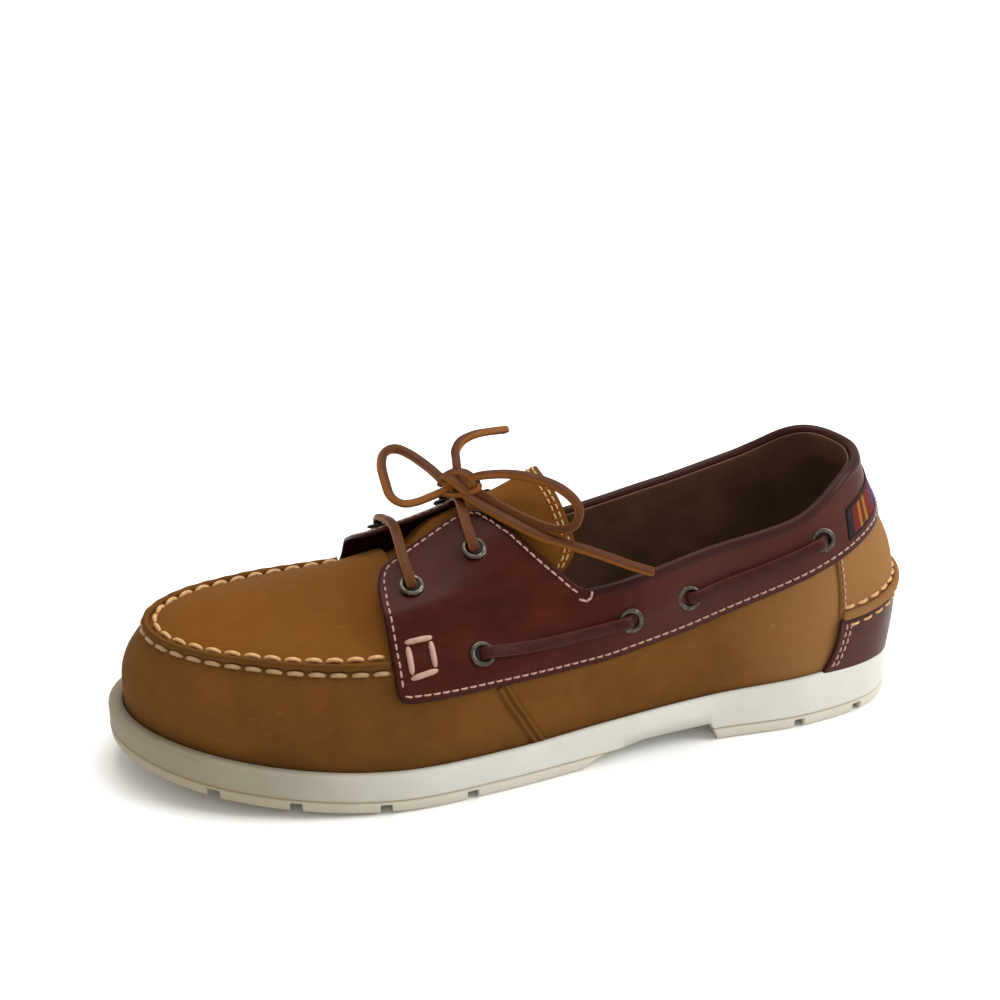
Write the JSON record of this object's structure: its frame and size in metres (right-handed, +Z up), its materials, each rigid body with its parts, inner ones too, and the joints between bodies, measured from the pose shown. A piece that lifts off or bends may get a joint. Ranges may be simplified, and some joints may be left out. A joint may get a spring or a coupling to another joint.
{
  "type": "boat shoe",
  "caption": "Left boat shoe: hollow tan nubuck upper with a moccasin seam, dark saddle with side lacing, tied rawhide bow and a pale rubber cup sole.",
  "frame": {"origin": "on the ground under the middle of the shoe's length and width", "axes": "+X towards the toe, +Y towards the outer (left) side, +Z up"},
  "size_m": [0.3016, 0.1111, 0.1101],
  "materials": {
    "rubber": "matte",
    "tan_nubuck": "napped, matte",
    "brown_leather": "oiled, half gloss",
    "insole": "matte",
    "eyelet_metal": "aged nickel",
    "dark_lace": "oiled, half gloss",
    "tan_lace": "raw cut, satin",
    "lining": "matte",
    "thread": "waxed thread",
    "ribbon": "woven ribbon"
  },
  "bodies": {
    "root": {"outsole": "rubber", "upper": "tan_nubuck", "saddle": "brown_leather", "heel_counter": "brown_leather", "tongue": "tan_nubuck", "insole": "insole", "eyelet_outer_throat_front": "eyelet_metal", "eyelet_outer_throat_rear": "eyelet_metal", "eyelet_outer_band_front": "eyelet_metal", "eyelet_outer_band_waist": "eyelet_metal", "eyelet_outer_band_quarter": "eyelet_metal", "eyelet_outer_band_heel": "eyelet_metal", "lace_outer_front": "dark_lace", "lace_outer_rear": "dark_lace", "eyelet_inner_throat_front": "eyelet_metal", "eyelet_inner_throat_rear": "eyelet_metal", "eyelet_inner_band_front": "eyelet_metal", "eyelet_inner_band_waist": "eyelet_metal", "eyelet_inner_band_quarter": "eyelet_metal", "eyelet_inner_band_heel": "eyelet_metal", "lace_inner_front": "dark_lace", "lace_inner_rear": "dark_lace", "lace_bar_front": "tan_lace", "lace_bar_rear": "tan_lace", "bow_knot": "tan_lace", "bow_loop_front": "tan_lace", "bow_loop_rear": "tan_lace", "bow_end_short": "tan_lace", "bow_end_long": "tan_lace"}
  },
  "joints": []
}
